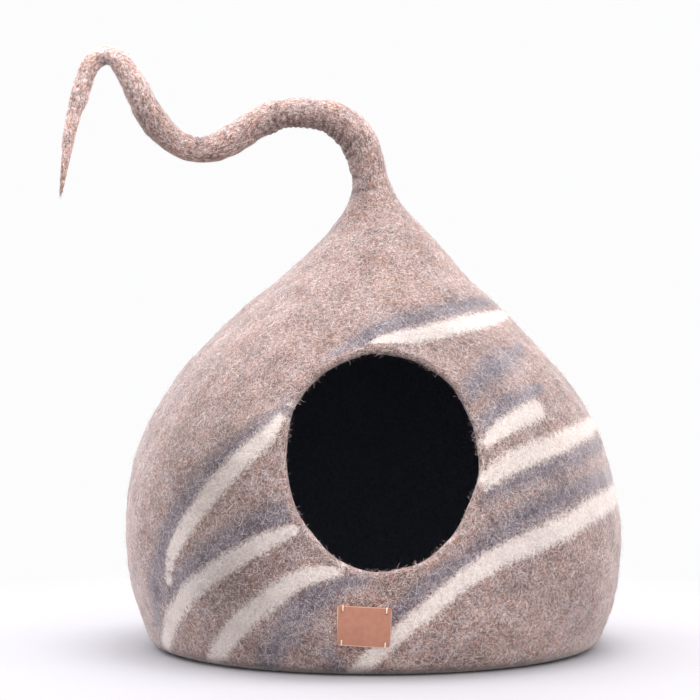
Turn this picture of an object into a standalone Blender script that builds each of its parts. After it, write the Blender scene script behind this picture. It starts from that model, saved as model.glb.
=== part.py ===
"""Felt cat cave: a hollow drop of wet-felted wool with a round door, a flat
base and a long curling tail, and a small leather label sewn on its front.

Metres, +Z up. The origin is the centre of the flat base, and the door faces -Y.
"""

from collections import namedtuple
from math import cos, pi, radians, sin, tau

import bmesh
import bpy
from mathutils import Matrix, Vector

# ---------------------------------------------------------------- driving sizes

WALL = 0.009              # thickness of the felt all over
COLUMNS = 40              # facets around the body and the tail
STEPS = 2                 # rings that each interval of a table is drawn with

# The body's outer face, from the rim of the base up to the neck.
# height above the floor, radius, and how far the ring leans towards +X.
Level = namedtuple("Level", "height radius lean")
LEVELS = [
    Level(0.000, 0.2100, 0.0000),
    Level(0.003, 0.2195, 0.0000),
    Level(0.008, 0.2265, 0.0000),
    Level(0.020, 0.2320, 0.0000),
    Level(0.050, 0.2425, 0.0000),
    Level(0.090, 0.2495, -0.0010),
    Level(0.130, 0.2495, -0.0020),
    Level(0.180, 0.2410, -0.0030),
    Level(0.230, 0.2215, -0.0030),
    Level(0.280, 0.1895, -0.0045),
    Level(0.330, 0.1410, -0.0045),
    Level(0.370, 0.0960, -0.0015),
    Level(0.410, 0.0560, 0.0035),
    Level(0.435, 0.0350, 0.0025),
    Level(0.452, 0.0240, -0.0010),
]

# The tail, a solid roll of felt that grows out of the neck: the centre of each
# section and how thick it is there, up to the thin tip that hangs at the left.
Section = namedtuple("Section", "x y z thickness")
TAIL = [
    Section(-0.0040, 0.000, 0.470, 0.0370),
    Section(-0.0090, 0.000, 0.492, 0.0365),
    Section(-0.0220, -0.002, 0.518, 0.0370),
    Section(-0.0410, -0.004, 0.532, 0.0335),
    Section(-0.0650, -0.007, 0.537, 0.0305),
    Section(-0.0910, -0.010, 0.537, 0.0300),
    Section(-0.1210, -0.014, 0.525, 0.0300),
    Section(-0.1510, -0.017, 0.506, 0.0300),
    Section(-0.1770, -0.019, 0.500, 0.0260),
    Section(-0.2030, -0.019, 0.510, 0.0265),
    Section(-0.2250, -0.018, 0.534, 0.0285),
    Section(-0.2400, -0.016, 0.563, 0.0250),
    Section(-0.2560, -0.014, 0.588, 0.0215),
    Section(-0.2710, -0.012, 0.5955, 0.0195),
    Section(-0.2860, -0.010, 0.587, 0.0200),
    Section(-0.2940, -0.008, 0.568, 0.0190),
    Section(-0.3005, -0.007, 0.546, 0.0155),
    Section(-0.3080, -0.006, 0.516, 0.0125),
    Section(-0.3130, -0.005, 0.486, 0.0090),
    Section(-0.3170, -0.004, 0.458, 0.0045),
]

# The door: an oval cut square through the leaning front wall.
DOOR_CENTRE = Vector((0.005, -0.212, 0.2015))
DOOR_WIDTH = 0.180
DOOR_HEIGHT = 0.215       # measured along the wall
DOOR_TILT = radians(23)   # how far its axis points up from level
DOOR_REACH = 0.060        # how far the cutter goes to each side of the wall
DOOR_SIDES = 48

# The label: thin leather bent to the wall, with a sewing hole in each corner.
LABEL_WIDTH = 0.0490
LABEL_HEIGHT = 0.0385
LABEL_THICKNESS = 0.0016
LABEL_CORNER = 0.0030     # radius of its corners
LABEL_HEADING = radians(-2.8)   # where round the wall it sits, from -Y towards +X
LABEL_MIDDLE = 0.0485     # height of its centre, along the floor's normal
LABEL_TURN = radians(-3)  # it is sewn on slightly askew, clockwise
LABEL_GAP = 0.0004        # between the leather and the true face of the felt
HOLE_WIDTH = 0.0016
HOLE_INSET = Vector((0.0045, 0.0055))   # from the label's edges
HOLE_SIDES = 10

# ------------------------------------------------------------------ preparation

for old in list(bpy.data.objects):
    bpy.data.objects.remove(old, do_unlink=True)


def principled(name, colour, roughness):
    """A material with one Principled BSDF."""
    material = bpy.data.materials.new(name)
    material.use_nodes = True
    shader = material.node_tree.nodes["Principled BSDF"]
    shader.inputs["Base Color"].default_value = (*colour, 1.0)
    shader.inputs["Roughness"].default_value = roughness
    shader.inputs["Metallic"].default_value = 0.0
    return material


def place(name, bm, material=None):
    """Turns a bmesh into a named object, smooth but for its sharp edges."""
    mesh = bpy.data.meshes.new(name)
    bm.to_mesh(mesh)
    bm.free()
    mesh.shade_smooth()
    mesh.set_sharp_from_angle(angle=radians(50))
    made = bpy.data.objects.new(name, mesh)
    bpy.context.collection.objects.link(made)
    if material:
        mesh.materials.append(material)
    return made


def cut(body, cutter):
    """Takes the cutter out of the body and keeps it as a guide."""
    difference = body.modifiers.new("cut_" + cutter.name, "BOOLEAN")
    difference.operation = "DIFFERENCE"
    difference.solver = "EXACT"
    difference.object = cutter
    cutter.hide_render = True
    cutter.display_type = "WIRE"


# ------------------------------------------------------------------- felt shell

def between(a, b, c, d, t):
    """The point at t from b to c on the smooth curve through four points."""
    return 0.5 * (
        2 * b + (c - a) * t + (2 * a - 5 * b + 4 * c - d) * t**2 + (3 * b - 3 * c + d - a) * t**3
    )


def smooth(rows, steps):
    """The rows of a table, as vectors, with smooth steps between them."""
    points = [Vector(row) for row in rows]
    ends = [2 * points[0] - points[1], *points, 2 * points[-1] - points[-2]]
    curve = []
    for a, b, c, d in zip(ends, ends[1:], ends[2:], ends[3:]):
        curve += [between(a, b, c, d, step / steps) for step in range(steps)]
    return [*curve, points[-1]]


def wall_at(height):
    """Radius and lean of the outer face at a height, by the body's table."""
    levels = smooth(LEVELS, 16)
    for low, high in zip(levels, levels[1:]):
        if low.x <= height <= high.x:
            return low.lerp(high, (height - low.x) / (high.x - low.x))
    return levels[-1]


def level_ring(height, radius, lean):
    """A level ring of the body, from -Y round through +X."""
    turns = [tau * column / COLUMNS for column in range(COLUMNS)]
    return [Vector((lean + radius * sin(turn), -radius * cos(turn), height)) for turn in turns]


def tail_ring(centre, radius, heading):
    """A ring square to the tail's heading, its columns in line with the body's."""
    right = Vector((0, 1, 0)).cross(heading).normalized()
    front = right.cross(heading).normalized()
    turns = [tau * column / COLUMNS for column in range(COLUMNS)]
    return [centre + radius * (sin(turn) * right + cos(turn) * front) for turn in turns]


def loft(rings):
    """A closed skin over rings of equal count, with a flat cap on each end."""
    bm = bmesh.new()
    rows = [[bm.verts.new(point) for point in ring] for ring in rings]
    for low, high in zip(rows, rows[1:]):
        for i in range(COLUMNS):
            j = (i + 1) % COLUMNS
            bm.faces.new((low[i], low[j], high[j], high[i]))
    bm.faces.new(reversed(rows[0]))
    bm.faces.new(rows[-1])
    return bm


def outer_rings():
    """The body's level rings, then the tail's rings along its route."""
    rings = [level_ring(*level) for level in smooth(LEVELS, STEPS)]
    route = smooth(TAIL, STEPS)
    for i, section in enumerate(route):
        before = route[max(i - 1, 0)].xyz
        after = route[min(i + 1, len(route) - 1)].xyz
        rings.append(tail_ring(section.xyz, section.w / 2, (after - before).normalized()))
    return rings


def hollow_rings():
    """The inner face: the body's own face moved in by the felt's thickness."""
    levels = smooth(LEVELS, STEPS)
    rings = [level_ring(WALL, LEVELS[0].radius, 0)]
    for low, level, high in zip(levels, levels[1:], levels[2:]):
        up = Vector((high.y - low.y, high.x - low.x)).normalized()
        radius = level.y - WALL * up.y
        height = level.x + WALL * up.x
        if height > 2 * WALL and radius > WALL:
            rings.append(level_ring(height, radius, level.z))
    return rings


def door_cutter():
    """An oval bar along the door's own axis."""
    across = Vector((1, 0, 0))
    out = Vector((0, -cos(DOOR_TILT), sin(DOOR_TILT)))
    up = out.cross(across)
    bm = bmesh.new()
    ends = []
    for reach in (-DOOR_REACH, DOOR_REACH):
        oval = []
        for side in range(DOOR_SIDES):
            turn = tau * side / DOOR_SIDES
            edge = across * cos(turn) * DOOR_WIDTH / 2 + up * sin(turn) * DOOR_HEIGHT / 2
            oval.append(bm.verts.new(DOOR_CENTRE + out * reach + edge))
        ends.append(oval)
    for i in range(DOOR_SIDES):
        j = (i + 1) % DOOR_SIDES
        bm.faces.new((ends[0][i], ends[0][j], ends[1][j], ends[1][i]))
    bm.faces.new(reversed(ends[0]))
    bm.faces.new(ends[1])
    return bm


brown_felt = principled("brown_felt", (0.33, 0.24, 0.20), 0.95)
cave_shell = place("cave_shell", loft(outer_rings()), brown_felt)
cut(cave_shell, place("hollow_cutter", loft(hollow_rings())))
cut(cave_shell, place("door_cutter", door_cutter()))

# ---------------------------------------------------------------- leather label

def on_wall(across, up, out):
    """Where a point of the flat label lies once it is bent to the wall.

    across and up are along the leather from its centre, and out is the
    distance from the true face of the felt.
    """
    middle = wall_at(LABEL_MIDDLE)
    above = wall_at(LABEL_MIDDLE + LABEL_HEIGHT / 2)
    rise = Vector((above.y - middle.y, above.x - middle.x)).normalized()
    turned = Matrix.Rotation(LABEL_TURN, 2) @ Vector((across, up))
    heading = LABEL_HEADING + turned.x / middle.y
    wall = wall_at(LABEL_MIDDLE + turned.y * rise.y)
    radius = wall.y + out * rise.y
    return Vector((
        wall.z + radius * sin(heading),
        -radius * cos(heading),
        wall.x - out * rise.x,
    ))


def rounded_outline(width, height, corner, sides=4):
    """Corners of a flat rounded rectangle about the origin, anticlockwise."""
    points = []
    for quarter, (right, up) in enumerate(((1, 1), (-1, 1), (-1, -1), (1, -1))):
        for side in range(sides + 1):
            turn = (quarter + side / sides) * pi / 2
            points.append((
                right * (width / 2 - corner) + corner * cos(turn),
                up * (height / 2 - corner) + corner * sin(turn),
            ))
    return points


def label_leather():
    """The leather as a thin plate, scored into strips and bent to the wall."""
    bm = bmesh.new()
    corners = rounded_outline(LABEL_WIDTH, LABEL_HEIGHT, LABEL_CORNER)
    bm.faces.new([bm.verts.new((x, y, 0)) for x, y in corners])
    for share in (-1 / 3, 0, 1 / 3):
        for place_of, normal in (
            ((share * LABEL_WIDTH, 0, 0), (1, 0, 0)),
            ((0, share * LABEL_HEIGHT, 0), (0, 1, 0)),
        ):
            scored = [*bm.verts, *bm.edges, *bm.faces]
            bmesh.ops.bisect_plane(bm, geom=scored, plane_co=place_of, plane_no=normal)
    raised = bmesh.ops.extrude_face_region(bm, geom=list(bm.faces), use_keep_orig=True)
    for made in raised["geom"]:
        if isinstance(made, bmesh.types.BMVert):
            made.co.z = LABEL_THICKNESS
    bmesh.ops.recalc_face_normals(bm, faces=bm.faces)
    for vert in bm.verts:
        vert.co = on_wall(vert.co.x, vert.co.y, LABEL_GAP + vert.co.z)
    return bm


def sewing_hole(across, up):
    """A round cutter through the leather, square to the wall there."""
    bm = bmesh.new()
    bmesh.ops.create_cone(
        bm,
        cap_ends=True,
        segments=HOLE_SIDES,
        radius1=HOLE_WIDTH / 2,
        radius2=HOLE_WIDTH / 2,
        depth=4 * LABEL_THICKNESS,
    )
    inside = on_wall(across, up, LABEL_GAP)
    outside = on_wall(across, up, LABEL_GAP + LABEL_THICKNESS)
    turn = (outside - inside).to_track_quat("Z", "Y").to_matrix().to_4x4()
    bm.transform(Matrix.Translation((inside + outside) / 2) @ turn)
    return bm


tan_leather = principled("tan_leather", (0.55, 0.27, 0.16), 0.55)
label_patch = place("label_patch", label_leather(), tan_leather)
hole_reach = Vector((LABEL_WIDTH, LABEL_HEIGHT)) / 2 - HOLE_INSET
for right in (-1, 1):
    for up in (-1, 1):
        name = f"hole_cutter_{'right' if right > 0 else 'left'}_{'top' if up > 0 else 'bottom'}"
        cut(label_patch, place(name, sewing_hole(right * hole_reach.x, up * hole_reach.y)))
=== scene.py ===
from math import cos, pi, radians, sin, tau

import bpy
import numpy as np
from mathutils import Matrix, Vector, noise
from mathutils.bvhtree import BVHTree


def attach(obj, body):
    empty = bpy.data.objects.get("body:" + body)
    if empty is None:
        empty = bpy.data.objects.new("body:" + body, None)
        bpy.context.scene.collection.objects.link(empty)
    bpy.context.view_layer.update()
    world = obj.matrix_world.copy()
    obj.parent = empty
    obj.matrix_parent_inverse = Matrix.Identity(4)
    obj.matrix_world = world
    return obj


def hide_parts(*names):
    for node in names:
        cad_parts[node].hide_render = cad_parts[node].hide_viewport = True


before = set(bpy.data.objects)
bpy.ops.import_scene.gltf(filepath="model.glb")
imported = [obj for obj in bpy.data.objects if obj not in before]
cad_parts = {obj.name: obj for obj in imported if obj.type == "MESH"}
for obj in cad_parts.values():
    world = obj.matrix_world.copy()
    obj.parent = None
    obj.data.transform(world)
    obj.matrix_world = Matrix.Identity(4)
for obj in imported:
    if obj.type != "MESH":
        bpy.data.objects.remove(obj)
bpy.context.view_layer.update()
scene = bpy.context.scene

# ------------------------------------------------------------------------ studio
# A white sweep seen from low in front with a long lens. A soft key stands to the
# upper right, two lamps behind light the fuzz at the sides, and one hangs overhead.

scene.view_settings.view_transform = "Standard"


def placed(name, data):
    """An object of the data, put into the scene."""
    made = bpy.data.objects.new(name, data)
    scene.collection.objects.link(made)
    return made


def turn_to(thing, place, towards):
    """Stands a camera or a lamp at a place and points it."""
    thing.location = place
    thing.rotation_euler = (Vector(towards) - thing.location).to_track_quat("-Z", "Y").to_euler()


def softbox(name, place, towards, size, power, tint=(1.0, 1.0, 1.0)):
    """A square area lamp that faces a point."""
    lamp = placed(name, bpy.data.lights.new(name, "AREA"))
    lamp.data.size = size
    lamp.data.energy = power
    lamp.data.color = tint
    turn_to(lamp, place, towards)


camera = placed("camera", bpy.data.cameras.new("camera"))
camera.data.lens = 121.7
turn_to(camera, (-0.0247, -2.4, 0.330), (-0.0247, 0.0, 0.298))
scene.camera = camera

softbox("key_lamp", (1.5, -1.4, 1.4), (0, 0, 0.2), 0.9, 10, (1.0, 0.94, 0.90))
softbox("top_lamp", (0.25, 0.0, 2.0), (0, 0, 0.1), 0.8, 16)
softbox("left_lamp", (-1.7, 1.2, 1.1), (0, 0, 0.3), 0.9, 19, (0.91, 0.905, 1.0))
softbox("right_lamp", (1.7, 1.3, 1.0), (0, 0, 0.3), 0.9, 4, (0.96, 0.93, 1.0))


def node(tree, kind, settings=(), **values):
    """Adds a node with its settings, and its inputs as values or other outputs."""
    made = tree.nodes.new("ShaderNode" + kind)
    for name, value in dict(settings).items():
        setattr(made, name, value)
    for name, value in values.items():
        feed(tree, made.inputs[name.replace("_", " ")], value)
    return made


def feed(tree, socket, value):
    """Sets an input to a value, or links an output to it."""
    if isinstance(value, bpy.types.NodeSocket):
        tree.links.new(value, socket)
    elif socket.type == "RGBA" and len(value) == 3:
        socket.default_value = (*value, 1.0)
    else:
        socket.default_value = value


world = bpy.data.worlds.new("white_room")
world.use_nodes = True
scene.world = world
sky = world.node_tree
# the room is brighter overhead than near the floor, and looks an even white
upward = node(sky, "SeparateXYZ", Vector=node(sky, "TexCoord").outputs["Generated"]).outputs["Z"]
brighter = node(
    sky, "MapRange", Value=upward, From_Min=-0.6, From_Max=1.0, To_Min=0.11, To_Max=2.55,
)
room = sky.nodes["Background"]
feed(sky, room.inputs["Color"], (0.99, 0.965, 0.985))
feed(sky, room.inputs["Strength"], brighter.outputs["Result"])
backdrop = node(sky, "Background", Color=(0.975, 0.975, 0.98))
either = node(sky, "MixShader", Fac=node(sky, "LightPath").outputs["Is Camera Ray"])
feed(sky, either.inputs[1], room.outputs["Background"])
feed(sky, either.inputs[2], backdrop.outputs["Background"])
feed(sky, sky.nodes["World Output"].inputs["Surface"], either.outputs["Shader"])


def finish(name, **plain):
    """A material with its plain values, its nodes and its shader."""
    material = bpy.data.materials.new(name)
    material.use_nodes = True
    tree = material.node_tree
    shader = tree.nodes["Principled BSDF"]
    for title, value in plain.items():
        feed(tree, shader.inputs[title.replace("_", " ")], value)
    return material, tree, shader


# The floor is a wide disc just under the base, and fades out into the room's white.
floor_mesh = bpy.data.meshes.new("floor")
floor_turns = [tau * side / 64 for side in range(64)]
floor_ring = [(1.6 * cos(turn), 1.6 * sin(turn), -0.0002) for turn in floor_turns]
floor_mesh.from_pydata(floor_ring, [], [range(64)])
floor = placed("floor", floor_mesh)
floor_paint, tree, shader = finish("white_sweep", Base_Color=(0.385, 0.383, 0.405), Roughness=0.8)
on_floor = node(tree, "TexCoord").outputs["Object"]
out_from = node(tree, "VectorMath", {"operation": "LENGTH"}, Vector=on_floor).outputs["Value"]
fade = node(
    tree, "MapRange", {"interpolation_type": "SMOOTHSTEP"}, Value=out_from,
    From_Min=0.27, From_Max=0.80, To_Min=1.0, To_Max=0.0,
)
feed(tree, shader.inputs["Alpha"], fade.outputs["Result"])
floor_mesh.materials.append(floor_paint)

# --------------------------------------------------------------------- felt wall
# The cave is one piece of wool, wet-felted over a form about 9 mm thick: a round
# base, a wall that bellies out and draws in to a neck, and a solid rolled tail.
# The door is cut out of the leaning front, and its edge is felted round.

WALL = 0.009
LIP = WALL / 2                             # how far the door's edge is rounded
STEPS = 12                                 # smooth steps between two rows of a table
# height, radius, lean towards +X
LEVELS = [
    (0.000, 0.2100, 0.0000),
    (0.003, 0.2195, 0.0000),
    (0.008, 0.2265, 0.0000),
    (0.020, 0.2320, 0.0000),
    (0.050, 0.2425, 0.0000),
    (0.090, 0.2495, -0.0010),
    (0.130, 0.2495, -0.0020),
    (0.180, 0.2410, -0.0030),
    (0.230, 0.2215, -0.0030),
    (0.280, 0.1895, -0.0045),
    (0.330, 0.1410, -0.0045),
    (0.370, 0.0960, -0.0015),
    (0.410, 0.0560, 0.0035),
    (0.435, 0.0345, 0.0020),
    (0.452, 0.0242, -0.0010),
    (0.470, 0.0185, -0.0040),
]
NECK = 0.452                               # the last row above it only steers the curve
# the tail's centre x, y, z and its thickness, from below the neck to the tip
TAIL = [
    (0.0020, 0.000, 0.435, 0.0690),
    (-0.0010, 0.000, 0.452, 0.0484),
    (-0.0040, 0.000, 0.470, 0.0370),
    (-0.0090, 0.000, 0.492, 0.0365),
    (-0.0220, -0.002, 0.518, 0.0370),
    (-0.0410, -0.004, 0.532, 0.0335),
    (-0.0650, -0.007, 0.537, 0.0305),
    (-0.0910, -0.010, 0.537, 0.0300),
    (-0.1210, -0.014, 0.525, 0.0300),
    (-0.1510, -0.017, 0.506, 0.0300),
    (-0.1770, -0.019, 0.500, 0.0260),
    (-0.2030, -0.019, 0.510, 0.0265),
    (-0.2250, -0.018, 0.534, 0.0285),
    (-0.2400, -0.016, 0.563, 0.0250),
    (-0.2560, -0.014, 0.588, 0.0215),
    (-0.2710, -0.012, 0.5955, 0.0195),
    (-0.2860, -0.010, 0.587, 0.0200),
    (-0.2940, -0.008, 0.568, 0.0190),
    (-0.3005, -0.007, 0.546, 0.0155),
    (-0.3080, -0.006, 0.516, 0.0125),
    (-0.3130, -0.005, 0.486, 0.0090),
    (-0.3170, -0.004, 0.458, 0.0028),
]
DOOR_CENTRE = np.array((0.005, -0.212, 0.2015))
DOOR_HALF = np.array((0.090, 0.1075))      # across, and up along the wall
DOOR_TILT = radians(23)
DOOR_ACROSS = np.array((1.0, 0.0, 0.0))
DOOR_OUT = np.array((0.0, -cos(DOOR_TILT), sin(DOOR_TILT)))
DOOR_UP = np.cross(DOOR_OUT, DOOR_ACROSS)
LABEL_CENTRE = (radians(-2.8), 0.0485)     # heading and height
LABEL_SIZE = (0.0490, 0.0385)


def smooth(rows, steps):
    """A table's rows with smooth steps between them."""
    rows = np.array(rows)
    ends = np.vstack([2 * rows[0] - rows[1], rows, 2 * rows[-1] - rows[-2]])
    t = (np.arange(steps) / steps)[:, None]
    curve = []
    for a, b, c, d in zip(ends, ends[1:], ends[2:], ends[3:]):
        curve.append(0.5 * (
            2 * b + (c - a) * t + (2 * a - 5 * b + 4 * c - d) * t**2
            + (3 * b - 3 * c + d - a) * t**3
        ))
    return np.vstack([*curve, rows[-1]])


def run_of(curve, axes):
    """How far along a curve each of its points is, measured in its first axes."""
    return np.append(0, np.cumsum(np.linalg.norm(np.diff(curve[:, :axes], axis=0), axis=1)))


def spaced(curve, gap, axes):
    """The curve with its points an even gap apart."""
    run = run_of(curve, axes)
    even = np.linspace(0, run[-1], round(run[-1] / gap) + 1)
    return np.column_stack([np.interp(even, run, values) for values in curve.T])


def moved_in(levels, by):
    """The levels of a face that lies inside another by a distance."""
    slope = np.gradient(levels[:, :2], axis=0)
    slope /= np.linalg.norm(slope, axis=1)[:, None]
    return np.column_stack([
        levels[:, 0] + by * slope[:, 1], levels[:, 1] - by * slope[:, 0], levels[:, 2],
    ])


def on_face(levels, heading, run):
    """Points of a round face at a heading and a run up its profile, and normals."""
    along = run_of(levels, 2)
    height, radius, lean = (np.interp(run, along, values) for values in levels.T)
    slope = np.gradient(levels[:, :2], axis=0)
    slope /= np.linalg.norm(slope, axis=1)[:, None]
    rise, spread = (np.interp(run, along, values) for values in slope.T)
    x, y = np.sin(heading), -np.cos(heading)
    points = np.stack([lean + radius * x, radius * y, height], axis=-1)
    return points, np.stack([rise * x, rise * y, -spread], axis=-1)


def door_share(points):
    """1 on the door's edge, less inside it and more on the wall around."""
    off = points - DOOR_CENTRE
    across = off @ DOOR_ACROSS / DOOR_HALF[0]
    up = off @ DOOR_UP / DOOR_HALF[1]
    share = np.hypot(across, up)
    return np.where(points[:, 1] < -0.10, share, 9.0), np.arctan2(up, across)


def door_ring(levels, grow, turns):
    """Heading and run on a face of the door's oval, grown by a distance.

    The edge was cut by eye, so it waves a little.
    """
    grow = grow + 0.0010 + 0.0009 * np.sin(3 * turns + 0.6) + 0.0006 * np.sin(7 * turns + 2.1)
    grow = grow + 0.0004 * np.sin(13 * turns + 4.0)
    edge = DOOR_CENTRE + np.outer((DOOR_HALF[0] + grow) * np.cos(turns), DOOR_ACROSS)
    edge = edge + np.outer((DOOR_HALF[1] + grow) * np.sin(turns), DOOR_UP)
    along = run_of(levels, 2)
    # the face is looked for between a place in front of the door and one behind it
    near, far = np.full(len(turns), 0.08), np.full(len(turns), -0.10)
    for _ in range(40):
        middle = (near + far) / 2
        point = edge + middle[:, None] * DOOR_OUT
        radius = np.interp(point[:, 2], levels[:, 0], levels[:, 1])
        lean = np.interp(point[:, 2], levels[:, 0], levels[:, 2])
        outside = np.hypot(point[:, 0] - lean, point[:, 1]) > radius
        near, far = np.where(outside, middle, near), np.where(outside, far, middle)
    heading = np.arctan2(point[:, 0] - lean, -point[:, 1])
    return heading, np.interp(point[:, 2], levels[:, 0], along)


def even_turns(count):
    """Turns round the door's oval that are evenly spaced along its edge."""
    fine = np.linspace(0, tau, 721)
    edge = np.column_stack([DOOR_HALF[0] * np.cos(fine), DOOR_HALF[1] * np.sin(fine)])
    run = run_of(edge, 2)
    return np.interp(np.arange(count) / count * run[-1], run, fine)


points, headings, runs, kinds, faces = [], [], [], [], []
OUTER, INNER, RIM, ROLL, UNDER = range(5)


def add(places, kind, heading=0.0, run=0.0):
    """Adds points to the shell and returns their numbers."""
    first = sum(map(len, points))
    count = len(places)
    points.append(np.asarray(places, float))
    headings.append(np.broadcast_to(heading, count))
    runs.append(np.broadcast_to(run, count))
    kinds.append(np.full(count, kind))
    return np.arange(first, first + count)


def band(low, high):
    """Quads between two closed rings of the same count."""
    faces.extend(zip(low, np.roll(low, -1), np.roll(high, -1), high))


def zip_up(low, high):
    """Triangles between two closed rings of unlike counts."""
    i = j = 0
    n, m = len(low), len(high)
    while i < n or j < m:
        if j == m or (i < n and (i + 1) * m <= (j + 1) * n):
            faces.append((low[i], low[(i + 1) % n], high[j % m]))
            i += 1
        else:
            faces.append((low[i % n], high[(j + 1) % m], high[j]))
            j += 1


def face_with_door(levels, columns, grow, kind):
    """A round face of the wall with the door's opening left out of it.

    Returns its first ring, its last ring and the ring round the opening.
    """
    along = run_of(levels, 2)
    rows = len(levels)
    heading = np.tile(tau * np.arange(columns) / columns, rows)
    run = np.repeat(along, columns)
    share, _ = door_share(on_face(levels, heading, run)[0])
    size = 1 + grow / DOOR_HALF.mean()
    number = np.arange(rows * columns).reshape(rows, columns)
    beside = np.roll(number, -1, axis=1)
    quads = np.stack([number[:-1], beside[:-1], beside[1:], number[1:]], -1).reshape(-1, 4)
    quads = quads[(share[quads] > size).all(axis=1)]
    # the ragged edge of the opening, in order round it
    near = quads[(share[quads] < size + 0.3).any(axis=1)]
    sides = {(a, b) for quad in near for a, b in zip(quad, np.roll(quad, -1))}
    following = {a: b for a, b in sides if (b, a) not in sides and share[a] < size + 0.2}
    ring = [min(following)]
    while following[ring[-1]] != ring[0]:
        ring.append(following[ring[-1]])
    ring = np.array(ring)
    _, turns = door_share(on_face(levels, heading[ring], run[ring])[0])
    if np.median((np.diff(turns) + pi) % tau - pi) < 0:
        ring, turns = ring[::-1], turns[::-1]
    first = int(np.argmin(turns % tau))
    ring = np.roll(ring, -first)
    heading = (heading + pi) % tau - pi
    heading[ring], run[ring] = door_ring(levels, grow, even_turns(len(ring)))
    # the mesh around it is eased so that its cells stay even
    easing = [v for v in np.unique(near) if v not in set(ring) and share[v] < size + 0.25]
    neighbours = {v: [] for v in easing}
    for quad in quads[(share[quads] < size + 0.4).any(axis=1)]:
        for a, b in zip(quad, np.roll(quad, -1)):
            if a in neighbours:
                neighbours[a].append(b)
            if b in neighbours:
                neighbours[b].append(a)
    for _ in range(25):
        for v, others in neighbours.items():
            heading[v] = heading[others].mean()
            run[v] = run[others].mean()
    numbers = add(on_face(levels, heading, run)[0], kind, heading, run)
    quads = numbers[quads]
    faces.extend(map(tuple, quads[:, ::-1] if kind == INNER else quads))
    return numbers[:columns], numbers[-columns:], numbers[ring]


# the outer face, its flat underside, and the inner face, which is made coarser
outer = spaced(smooth(LEVELS, STEPS)[:-STEPS], 0.0046, 2)
wall_run = run_of(outer, 2)
contact, neck, outer_edge = face_with_door(outer, 312, LIP, OUTER)
rim_turns = even_turns(len(outer_edge))

hub = add([(0, 0, 0)], UNDER)[0]
disc = []
for radius, columns in ((0.05, 24), (0.11, 48), (0.17, 96), (0.198, 156)):
    turns = tau * np.arange(columns) / columns
    ring = np.column_stack([radius * np.sin(turns), -radius * np.cos(turns), 0 * turns])
    disc.append(add(ring, UNDER))
faces.extend((hub, b, a) for a, b in zip(disc[0], np.roll(disc[0], -1)))
for low, high in zip(disc, [*disc[1:], contact]):
    zip_up(low, high)

inner = moved_in(outer, WALL)
inner = inner[(inner[:, 0] > 2 * WALL) & (inner[:, 1] > WALL)]
inner = spaced(np.vstack([(WALL, LEVELS[0][1] - 0.004, 0), inner]), 0.011, 2)
inner_floor, inner_top, inner_edge = face_with_door(inner, 108, LIP + 0.004, INNER)
floor_middle = add([(0, 0, WALL)], INNER)[0]
top_middle = add([(inner[-1, 2], 0, inner[-1, 0] + 0.004)], INNER)[0]
faces.extend((floor_middle, a, b) for a, b in zip(inner_floor, np.roll(inner_floor, -1)))
faces.extend((top_middle, b, a) for a, b in zip(inner_top, np.roll(inner_top, -1)))

# the rounded edge of the door, in rows from the outer face to the inner
RIM_STEPS = 9
edge_heading, edge_run = door_ring(outer, LIP, rim_turns)
edge_points, edge_normals = on_face(outer, edge_heading, edge_run)
inward = np.cross(edge_normals, np.roll(edge_points, -1, 0) - np.roll(edge_points, 1, 0))
inward /= np.linalg.norm(inward, axis=1)[:, None]
if (inward * (DOOR_CENTRE - edge_points)).sum() < 0:
    inward = -inward
ring = outer_edge
for step in range(1, RIM_STEPS):
    turn = pi * step / RIM_STEPS
    place = edge_points - edge_normals * LIP * (1 - cos(turn)) + inward * LIP * sin(turn)
    following = add(place, RIM, edge_heading, edge_run)
    band(ring, following)
    ring = following
zip_up(ring, inner_edge)

# the tail: rings square to its route, in line with the neck's columns
ROLL_COLUMNS = 84
route = spaced(smooth(TAIL, STEPS)[STEPS:], 0.0017, 3)
roll_run = run_of(route, 3)
ahead = np.gradient(route[:, :3], axis=0)
ahead /= np.linalg.norm(ahead, axis=1)[:, None]
# the first rings lie level, as the neck does
level = np.clip(1 - roll_run / 0.035, 0, 1)[:, None] ** 1.5
ahead = ahead * (1 - level) + np.array((0.0, 0.0, 1.0)) * level
ahead /= np.linalg.norm(ahead, axis=1)[:, None]
rightward = np.cross((0.0, 1.0, 0.0), ahead)
rightward /= np.linalg.norm(rightward, axis=1)[:, None]
frontward = np.cross(rightward, ahead)
roll_turns = tau * np.arange(ROLL_COLUMNS) / ROLL_COLUMNS
rings = []
for centre, right, front, run in zip(route, rightward, frontward, roll_run):
    out = np.outer(np.sin(roll_turns), right) + np.outer(np.cos(roll_turns), front)
    rings.append(add(centre[:3] + out * centre[3] / 2, ROLL, roll_turns, run))
zip_up(neck, rings[1])
for low, high in zip(rings[1:], rings[2:]):
    band(low, high)
tip = add([route[-1, :3] + ahead[-1] * 0.002], ROLL, 0, roll_run[-1])[0]
faces.extend((tip, a, b) for a, b in zip(rings[-1], np.roll(rings[-1], -1)))

# points that no face uses are left out
places = np.vstack(points)
heading = np.concatenate(headings)
run = np.concatenate(runs)
kind = np.concatenate(kinds)
used = np.unique(np.concatenate([np.ravel(face) for face in faces]))
fresh = np.full(len(places), -1)
fresh[used] = np.arange(len(used))
places, heading, run, kind = places[used], heading[used], run[used], kind[used]
faces = [tuple(int(fresh[v]) for v in face) for face in faces]


# Felting by hand leaves the wall slightly lumpy, with shallow creases round the
# belly. It stays true where it stands on the floor and under the label.
def swells(places, sizes):
    """Gentle swells and hollows: noise of each (length, height) added up."""
    heights = np.zeros(len(places))
    for length, height in sizes:
        heights += [height * noise.noise(Vector(place)) for place in places / length]
    return heights


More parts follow.
